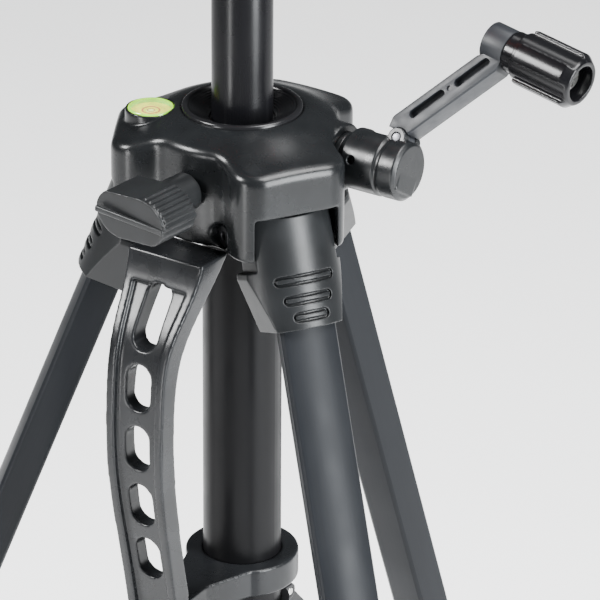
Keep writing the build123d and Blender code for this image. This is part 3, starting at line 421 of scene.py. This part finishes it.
def merged(meshes, name):
    """Several meshes as one."""
    bm = bmesh.new()
    for mesh in meshes:
        bm.from_mesh(mesh)
    whole = bpy.data.meshes.new(name)
    bm.to_mesh(whole)
    bm.free()
    whole.shade_smooth()
    whole.set_sharp_from_angle(angle=radians(40))
    return whole


# ---- Material set ----
def down_leg(angle):
    """Unit vector down a leg that points at an angle seen from above."""
    out = sin(radians(SPREAD))
    return cos(radians(angle)) * out, sin(radians(angle)) * out, -cos(radians(SPREAD))


leg_axis = {name: down_leg(angle) for name, angle in LEGS.items()}
canopy_black = moulded("canopy_black", (0.0050, 0.0055, 0.0060), 0.26, grain=0.5 * MM, depth=0.006 * MM)
ring_black = moulded("ring_black", (0.004, 0.004, 0.0045), 0.22, grain=0.4 * MM, depth=0.004 * MM)
handle_black = moulded("handle_black", (0.0065, 0.0070, 0.0078), 0.27, grain=0.4 * MM, depth=0.008 * MM)
knob_black = moulded("knob_black", (0.0070, 0.0075, 0.0080), 0.33, grain=0.3 * MM, depth=0.010 * MM)
knuckle_black = moulded("knuckle_black", (0.0060, 0.0065, 0.0070), 0.34, grain=0.3 * MM, depth=0.014 * MM)
trim_black = moulded("trim_black", (0.0065, 0.0065, 0.0070), 0.38, grain=0.3 * MM, depth=0.012 * MM)
lever_grey = moulded("lever_grey", (0.050, 0.051, 0.055), 0.34, grain=0.35 * MM, depth=0.008 * MM)
grip_black = moulded("grip_black", (0.003, 0.003, 0.0035), 0.20, grain=0.6 * MM, depth=0.003 * MM)
hub_black = painted_cast("hub_black", (0.004, 0.0045, 0.005), 0.30, 0.0)
arm_grey = painted_cast("arm_grey", (0.008, 0.009, 0.011), 0.44, 0.0)
column_black = anodised("column_black", (0.0028, 0.0028, 0.0034), 0.26, (0, 0, 1), 0.05, shine=0.12)
sleeve_black = anodised("sleeve_black", (0.0018, 0.0018, 0.0021), 0.34, (0, 0, 1), 0.05, shine=0.08)
head_black = painted_cast("head_black", (0.008, 0.008, 0.009), 0.36, 0.3)
zinc = steel("zinc", (0.62, 0.62, 0.60), 0.24)
dark_steel = steel("dark_steel", (0.06, 0.06, 0.065), 0.32)
foot_rubber = rubber("foot_rubber", (0.008, 0.008, 0.009), 0.72)
pad_rubber = rubber("pad_rubber", (0.008, 0.008, 0.009), 0.8)
bumper_rubber = rubber("bumper_rubber", (0.010, 0.010, 0.011), 0.62)
# The level's cup, fluid and bubble carry a painted glow for light shining through them.
vial_lime_glow = glowing_plastic("vial_lime_glow", (0.25, 0.55, 0.04), 0.35)
vial_yellow_glow = glowing_plastic("vial_yellow_glow", (0.70, 0.66, 0.03), 0.3)
vial_bubble = glowing_plastic("vial_bubble", (0.55, 0.75, 0.15), 0.9)
vial_mark = moulded("vial_mark", (0.45, 0.12, 0.01), 0.4, edge=(0.5, 0.2, 0.03))
lens_clear = clear("lens_clear", (0.9, 1.0, 0.75), 0.08)
laser_orange = moulded("laser_orange", (0.34, 0.030, 0.006), 0.34, grain=0.4 * MM, depth=0.010 * MM,
                       edge=(0.62, 0.12, 0.04))
laser_tint = clear("laser_tint", (0.02, 0.03, 0.035), 0.55)
switch_pale = moulded("switch_pale", (0.55, 0.55, 0.52), 0.42, edge=(0.7, 0.7, 0.68))
lamp_green = glowing_plastic("lamp_green", (0.05, 0.45, 0.10), 0.6)
lamp_red = glowing_plastic("lamp_red", (0.50, 0.03, 0.02), 0.5)
brass = steel("lens_brass", (0.62, 0.42, 0.16), 0.22, (0, 1, 0))
glass_dark = clear("glass_dark", (0.02, 0.05, 0.09), 0.8)

leg_grey = {
    name: anodised(f"leg_grey_{name}", (0.0070, 0.0077, 0.0090), 0.38, axis, 0.05, shine=0.07)
    for name, axis in leg_axis.items()
}
lower_grey = {
    name: anodised(f"lower_grey_{name}", (0.045, 0.047, 0.051), 0.32, axis, 0.4)
    for name, axis in leg_axis.items()
}


# ---- The shoulder ----
def ridged_ring():
    """Top ring of the canopy: a rounded lip, then a funnel of fine steps down to the column."""
    low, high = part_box("collar_ring")
    outer = (high.x - low.x) / 2
    inner = 13.2 * MM
    foot = low.z - deck
    brim, brim_z, throat_z = outer - 2.8 * MM, 0.2 * MM, -3.6 * MM
    points = [(outer, foot), (outer, 0.3 * MM), (outer - 0.3 * MM, 0.9 * MM), (outer - 0.9 * MM, RING_LIP),
              (outer - 1.8 * MM, RING_LIP), (outer - 2.4 * MM, 0.9 * MM), (brim, brim_z)]
    steps = 7
    run = (brim - inner - 1.2 * MM) / steps
    drop = (throat_z - brim_z) / steps
    for i in range(steps):
        r, z = brim - run * i, brim_z + drop * i
        points += [(r - run * 0.30, z + drop * 0.1), (r - run * 0.42, z + drop * 0.1 + 0.22 * MM),
                   (r - run * 0.72, z + drop * 0.4 + 0.22 * MM), (r - run * 0.84, z + drop * 0.9)]
    points += [(inner + 0.5 * MM, -3.7 * MM), (inner, -4.2 * MM), (inner, foot)]
    mesh = lathe(points, (0, 0, deck), (0, 0, 1), segments=144)
    stand_in("ridged_ring", mesh, "collar_ring", ring_black)


def glowing_dyed_cup():
    """Open cup of the bubble level, turned so that its bore shows what it holds; its lime plastic carries a
    painted glow.
    """
    low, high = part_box("level_cup")
    outer, tall = (high.x - low.x) / 2, high.z - low.z
    wall, floor = 1.0 * MM, 1.5 * MM
    inner = outer - wall
    profile = [(0, 0), (outer, 0), (outer, tall - 0.4 * MM), (outer - 0.3 * MM, tall),
               (inner + 0.3 * MM, tall), (inner, tall - 0.3 * MM), (inner, floor), (0, floor)]
    mesh = lathe(profile, ((low.x + high.x) / 2, (low.y + high.y) / 2, low.z), (0, 0, 1), 96)
    stand_in("glowing_dyed_cup", mesh, "level_cup", vial_lime_glow)


def bubble(low, high):
    """Flattened bubble under the cover, in the box between two corners, with a painted glow."""
    centre = (low + high) / 2
    half, height = (high.x - low.x) / 2, high.z - low.z
    dome = [(0, 0), (half, 0), (half, height * 0.35), (half * 0.8, height * 0.8), (half * 0.4, height * 0.98),
            (0, height)]
    mesh = lathe(dome, (centre.x, centre.y, low.z), (0, 0, 1), 48)
    stand_in("bubble_dome", mesh, "level_bubble", vial_bubble)


def level_rings(centre):
    """Two printed rings on the fluid, round a point."""
    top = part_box("level_fluid")[1].z
    rise = 0.14 * MM
    rings = []
    for radius, width in ((3.5 * MM, 0.34 * MM), (1.5 * MM, 0.20 * MM)):
        profile = [(radius - width, 0), (radius + width, 0),
                   (radius + width * 0.7, rise), (radius - width * 0.7, rise)]
        rings.append(lathe(profile, (centre.x, centre.y, top), (0, 0, 1), 72))
    place_piece("level_rings", merged(rings, "level_rings"), "canopy_body", vial_mark)


def round_level():
    """The bubble level: dyed cup, fluid and bubble with a painted glow, printed rings and clear cover."""
    glowing_dyed_cup()
    paint("level_fluid", vial_yellow_glow)
    low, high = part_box("level_bubble")
    bubble(low, high)
    level_rings((low + high) / 2)
    paint("level_lens", lens_clear)


def shoulder():
    """Canopy, sleeve, carry handle, knob and the fixings round them."""
    cast("canopy", canopy_black, 0.5 * MM, 20, 0.45)
    ridged_ring()
    round_level()
    paint("guide_bush", trim_black)
    paint("center_sleeve", sleeve_black)
    cast("sleeve_cap", trim_black, 0.4 * MM, 4, 0.4)
    cast("carry_handle", handle_black, 0.45 * MM, 22, 0.35)
    eased("handle_screws", zinc, 0.3 * MM)
    eased("leg_pivot_screws", dark_steel, 0.3 * MM)
    cast("brace_hub", trim_black, 0.35 * MM, 4, 0.35)
    eased("brace_hub_pins", zinc, 0.2 * MM)
    eased("crank_bearing", hub_black, 0.3 * MM)
    cast("lock_knob", knob_black, 0.3 * MM, 3, 0.5)
    knob_ridge()


def knob_ridge():
    """Raised bar along the knob's front face."""
    low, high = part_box("lock_knob")
    turn = Matrix.Rotation(radians(KNOB_TURN), 4, "Y")
    place = ((low.x + high.x) / 2, low.y + 0.2 * MM, (low.z + high.z) / 2)
    bar = block((33 * MM, 1.6 * MM, 2.6 * MM), place, turn, bevel=0.7 * MM, segments=4)
    place_piece("knob_ridge", bar, "lock_knob_body", knob_black)


def threaded(name, radius, pitch, node, axis, material):
    """Stud with a real helical thread in place of a node's plain cylinder."""
    low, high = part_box(node)
    axis = Vector(axis)
    middle = (low + high) / 2
    length = abs((high - low).dot(axis))
    samples, depth, chamfer = 6, pitch * 0.30, pitch
    steps = int(length / pitch * samples)
    heights = [length * i / steps for i in range(steps + 1)]
    profile = [(0.0, 0.0)] + [(radius, h) for h in heights] + [(0.0, length)]

    def crest(r, height, angle):
        if r == 0:
            return 0.0
        phase = (height / pitch - angle / (2 * pi)) % 1
        tooth = 1 - abs(2 * phase - 1)
        ends = min(1, height / chamfer + 0.4, (length - height) / chamfer + 0.4)
        return (r - depth * (1 - tooth)) * (0.85 + 0.15 * ends)

    mesh = lathe(profile, middle - axis * length / 2, axis, 48, crest)
    stand_in(name, mesh, node, material)


# ---- The crank ----
def crank():
    """Barrel, folding arm and fluted grip."""
    cast("crank_hub", hub_black, 0.28 * MM, 4, 0.4)
    eased("crank_arm", arm_grey, 0.35 * MM)
    cast("crank_grip", grip_black, 0.3 * MM, 5, 0.4)
    eased("crank_grub_screw", dark_steel, 0.15 * MM)
    eased("crank_elbow_pin", dark_steel, 0.25 * MM)
    eased("grip_spindle", zinc, 0.2 * MM)
    eased("pinion_shaft", zinc, 0.1 * MM)
    threaded("lock_thread", 3.0 * MM, 1.0 * MM, "lock_stud", (0, -1, 0), zinc)


# ---- Column and head ----
def grooved_pad():
    """Rubber ring on the head plate, with ridges turned into its top."""
    low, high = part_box("head_pad")
    outer, thick = (high.x - low.x) / 2, high.z - low.z
    inner = 8 * MM
    points = [(inner, 0), (outer, 0), (outer, thick * 0.6), (outer - 0.4 * MM, thick)]
    ridges = 8
    start = outer - 0.8 * MM
    run = (start - inner - 0.6 * MM) / ridges
    for i in range(ridges):
        r = start - run * i
        points += [(r - run * 0.15, thick), (r - run * 0.3, thick * 0.6), (r - run * 0.7, thick * 0.6),
                   (r - run * 0.85, thick)]
    points += [(inner + 0.3 * MM, thick), (inner, thick * 0.8)]
    mesh = lathe(points, (0, 0, low.z), (0, 0, 1), 120)
    stand_in("grooved_pad", mesh, "head_pad", pad_rubber)


def column():
    """Sliding column with its rack, head plate and grooved pad."""
    eased("center_column", column_black, 0.3 * MM)
    eased("column_rack", trim_black, 0.08 * MM, 1)
    eased("column_plug", trim_black, 0.4 * MM)
    eased("head_plate", head_black, 0.5 * MM)
    grooved_pad()
    threaded("mount_thread", 3.175 * MM, 1.27 * MM, "mount_stud", (0, 0, 1), zinc)


# ---- Laser level ----
def laser():
    """Housing, bumper, window with its emitter behind, lamps, base ring, battery door and switch."""
    eased("laser_housing", laser_orange, 0.5 * MM)
    cast("laser_bumper", bumper_rubber, 0.5 * MM, 5, 0.4)
    eased("laser_window", laser_tint, 0.3 * MM)
    eased("battery_door", trim_black, 0.5 * MM)
    eased("laser_switch", switch_pale, 0.2 * MM)
    knurled_base()
    emitter()
    lamps()
    bumper_ribs()
    door_details()


def knurled_base():
    """Turned foot of the laser level with a knurled rim."""
    low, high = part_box("laser_base")
    outer, tall = (high.x - low.x) / 2, high.z - low.z
    bore, bore_depth = 3.3 * MM, 8 * MM
    profile = [(0, bore_depth), (bore, bore_depth), (bore, 0), (outer - 1.2 * MM, 0),
               (outer - 0.3 * MM, 0.6 * MM), (outer, 1.6 * MM), (outer, tall - 3.4 * MM),
               (outer - 0.6 * MM, tall - 2.6 * MM), (outer - 2.6 * MM, tall - 2.4 * MM),
               (outer - 2.6 * MM, tall), (0, tall)]
    notches = 60

    def knurl(r, height, angle):
        inside = outer - 0.1 * MM < r and 1.5 * MM < height < tall - 3 * MM
        return r - 0.5 * MM * abs(sin(angle * notches / 2)) if inside else r

    mesh = lathe(profile, (0, 0, low.z), (0, 0, 1), notches * 6, knurl)
    stand_in("knurled_base", mesh, "laser_base", trim_black)


def emitter():
    """What shows behind the window: carrier plate, level-line barrel with its lens, and a glass cone."""
    low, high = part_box("laser_window")
    middle = (low + high) / 2
    wide, tall = high.x - low.x, high.z - low.z
    plate_y = high.y + 14 * MM
    plate = block((wide + 8 * MM, 2 * MM, tall + 6 * MM), (middle.x, plate_y, middle.z), bevel=0.4 * MM)
    place_piece("emitter_plate", plate, "laser", trim_black)
    barrel_points = [(0, 0), (6.2 * MM, 0), (6.2 * MM, 8 * MM), (5.6 * MM, 8.6 * MM), (4.6 * MM, 8.6 * MM),
                     (4.4 * MM, 7.6 * MM), (0, 7.6 * MM)]
    seat = Vector((middle.x, plate_y - 1 * MM, middle.z - 8 * MM))
    barrel = lathe(barrel_points, seat, (0, -1, 0), 64)
    place_piece("emitter_barrel", barrel, "laser", brass)
    lens_points = [(0, 0), (4.3 * MM, 0), (4.3 * MM, 0.5 * MM), (3.2 * MM, 1.2 * MM), (1.6 * MM, 1.6 * MM),
                   (0, 1.75 * MM)]
    lens = lathe(lens_points, seat + Vector((0, -7.4 * MM, 0)), (0, -1, 0), 48)
    place_piece("emitter_lens", lens, "laser", glass_dark)
    cone_points = [(0, 0), (5 * MM, 0), (5 * MM, 3 * MM), (4.4 * MM, 3.4 * MM), (0.6 * MM, 11 * MM),
                   (0, 11.2 * MM)]
    cone_seat = Vector((middle.x, plate_y - 7 * MM, middle.z + 5 * MM))
    cone = lathe(cone_points, cone_seat, (0, 0, 1), 64)
    place_piece("line_cone", cone, "laser", glass_dark)
    shelf = block((16 * MM, 11 * MM, 2 * MM), cone_seat + Vector((0, 1 * MM, -1 * MM)), bevel=0.3 * MM)
    place_piece("cone_shelf", shelf, "laser", trim_black)


def lamps():
    """Two indicator lamps in the front frame, under the window."""
    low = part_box("laser_bumper")[0]
    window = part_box("laser_window")
    middle = (window[0] + window[1]) / 2
    front_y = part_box("laser_housing")[0].y - 3.4 * MM
    for name, x, material in (("lamp_power", -5 * MM, lamp_green), ("lamp_lock", 5 * MM, lamp_red)):
        points = [(0, 0), (1.5 * MM, 0), (1.5 * MM, 0.25 * MM), (1.1 * MM, 0.55 * MM), (0.5 * MM, 0.68 * MM),
                  (0, 0.7 * MM)]
        seat = Vector((middle.x + x, front_y + 0.15 * MM, low.z + 16.5 * MM))
        piece = lathe(points, seat, (0, -1, 0), 32)
        place_piece(name, piece, "laser", material)


def bumper_ribs():
    """Grip ribs along the sides of both rubber bands."""
    low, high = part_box("laser_bumper")
    band, pitch = 11 * MM, 4.6 * MM
    ribs = []
    for base in (low.z, high.z - band):
        for sign in (-1, 1):
            x = high.x if sign > 0 else low.x
            for i in range(-5, 6):
                centre = (x - sign * 0.1 * MM, i * pitch, base + band / 2)
                ribs.append(block((1.2 * MM, 2.2 * MM, band - 2.6 * MM), centre, bevel=0.5 * MM, segments=2))
    place_piece("bumper_ribs", merged(ribs, "bumper_ribs"), "laser", bumper_rubber)


def screw_head(radius, origin, axis):
    """Pan head with a raised cross."""
    tall = radius * 0.55
    dome = [(0, 0), (radius, 0), (radius, tall * 0.4), (radius * 0.8, tall * 0.85), (radius * 0.4, tall),
            (0, tall)]
    parts = [lathe(dome, (0, 0, 0), (0, 0, 1), 40)]
    long, narrow, thick = radius * 1.1, radius * 0.24, tall * 0.16
    for size in ((long, narrow, thick), (narrow, long, thick)):
        parts.append(block(size, (0, 0, tall * 0.97), bevel=tall * 0.06, segments=1))
    whole = merged(parts, "screw_head")
    whole.transform(turned_frame(origin, axis))
    return whole


def door_details():
    """Finger ridges of the battery door and the housing's four back screws."""
    low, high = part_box("battery_door")
    middle = (low + high) / 2
    ridges = [
        block((16 * MM, 0.9 * MM, 1.2 * MM), (middle.x, high.y + 0.2 * MM, high.z - (5 + 2.2 * i) * MM),
              bevel=0.35 * MM, segments=2)
        for i in range(4)
    ]
    place_piece("door_ridges", merged(ridges, "door_ridges"), "laser", trim_black)
    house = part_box("laser_housing")
    out, up = 21.5 * MM, 17 * MM
    heads = []
    for x in (middle.x - out, middle.x + out):
        for z in (middle.z - up, middle.z + up):
            heads.append(screw_head(1.9 * MM, (x, house[1].y - 0.1 * MM, z), (0, 1, 0)))
    place_piece("housing_screws", merged(heads, "housing_screws"), "laser", zinc)


# ---- Legs ----
def leg(name):
    """Knuckle, tubes, lock, foot and brace of one leg."""
    cast(f"{name}_knuckle", knuckle_black, 0.32 * MM, 4, 0.35)
    eased(f"{name}_upper_tube", leg_grey[name], 0.45 * MM)
    eased(f"{name}_lower_tube", lower_grey[name], 0.4 * MM)
    cast(f"{name}_lock_collar", trim_black, 0.4 * MM, 4, 0.4)
    cast(f"{name}_lock_lever", lever_grey, 0.3 * MM, 3, 0.5)
    cast(f"{name}_brace_arm", trim_black, 0.35 * MM, 3, 0.35)
    cast(f"{name}_brace_shoe", trim_black, 0.35 * MM, 4, 0.4)
    cast(f"{name}_foot", foot_rubber, 0.4 * MM, 3, 0.5)
    foot_treads(name)


def foot_treads(name):
    """Rubber rings round the foot's thick part."""
    axis = Vector(leg_axis[name])
    out = Vector((axis.x, axis.y, 0)).normalized()
    ball = 11.0 * MM
    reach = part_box("rear_foot")[1].y
    centre = out * (reach - ball) + Vector((0, 0, ball - 1.0 * MM))
    rings = []
    for back in (3.2 * MM, 6.4 * MM):
        width, proud = 0.9 * MM, 0.5 * MM
        radius = ball + 0.25 * MM
        profile = [(radius - 1 * MM, -width), (radius, -width), (radius + proud, -width * 0.4),
                   (radius + proud, width * 0.4), (radius, width), (radius - 1 * MM, width)]
        rings.append(lathe(profile, centre - axis * back, axis, 72))
    place_piece(f"{name}_treads", merged(rings, f"{name}_treads"), f"{name}_lower",
                foot_rubber)


# ---- Studio ----
def area_light(name, place, target, size, power, tone=(1, 1, 1)):
    """Rectangular soft light that faces a point and isn't seen itself."""
    light = bpy.data.lights.new(name, "AREA")
    light.shape = "RECTANGLE"
    light.size, light.size_y = size
    light.energy = power
    light.color = tone
    lamp = bpy.data.objects.new(name, light)
    lamp.visible_camera = False
    direction = Vector(target) - Vector(place)
    turn = direction.to_track_quat("-Z", "Y").to_matrix().to_4x4()
    lamp.matrix_world = Matrix.Translation(Vector(place)) @ turn
    bpy.context.scene.collection.objects.link(lamp)


def studio_world():
    """Dim surroundings for the black parts to reflect, behind a pale backdrop."""
    world = bpy.data.worlds.new("studio_world")
    world.use_nodes = True
    tree = world.node_tree
    dim = tree.nodes["Background"]
    dim.inputs["Color"].default_value = (0.9, 0.95, 1.0, 1)
    dim.inputs["Strength"].default_value = 0.13
    pale = tree.nodes.new("ShaderNodeBackground")
    pale.inputs["Color"].default_value = (0.95, 0.95, 0.95, 1)
    pale.inputs["Strength"].default_value = 1.2
    seen = tree.nodes.new("ShaderNodeLightPath")
    mix = tree.nodes.new("ShaderNodeMixShader")
    tree.links.new(seen.outputs["Is Camera Ray"], mix.inputs["Fac"])
    tree.links.new(dim.outputs["Background"], mix.inputs[1])
    tree.links.new(pale.outputs["Background"], mix.inputs[2])
    tree.links.new(mix.outputs["Shader"], tree.nodes["World Output"].inputs["Surface"])
    bpy.context.scene.world = world


def studio():
    """Pale floor, dim surroundings and soft boxes placed for the highlights on the black parts."""
    bpy.ops.mesh.primitive_plane_add(size=FLOOR_SIZE, location=(0, 0, 0))
    floor = bpy.context.object
    floor.name = "floor"
    floor.data.materials.append(floor_material())
    studio_world()
    shoulder_point = (0, 0, deck)
    area_light("overhead_box", (0.7, 0.1, deck + 1.1), shoulder_point, (0.7, 0.7), 55)
    area_light("side_box", (1.15, -0.12, deck + 0.12), shoulder_point, (0.4, 0.8), 55, (0.95, 0.98, 1.0))
    area_light("front_left_box", (-0.75, -0.95, deck + 0.75), shoulder_point, (0.45, 0.45), 60)
    area_light("low_front_strip", (-0.25, -1.25, deck - 0.35), (0, 0, deck - 0.15), (0.2, 0.9), 18)
    area_light("top_fill", (-0.1, 0.6, deck + 2.2), (-0.3, 0.5, 0), (1.2, 1.2), 40)


make_camera()
shoulder()
crank()
column()
laser()
for leg_name in LEGS:
    leg(leg_name)
studio()
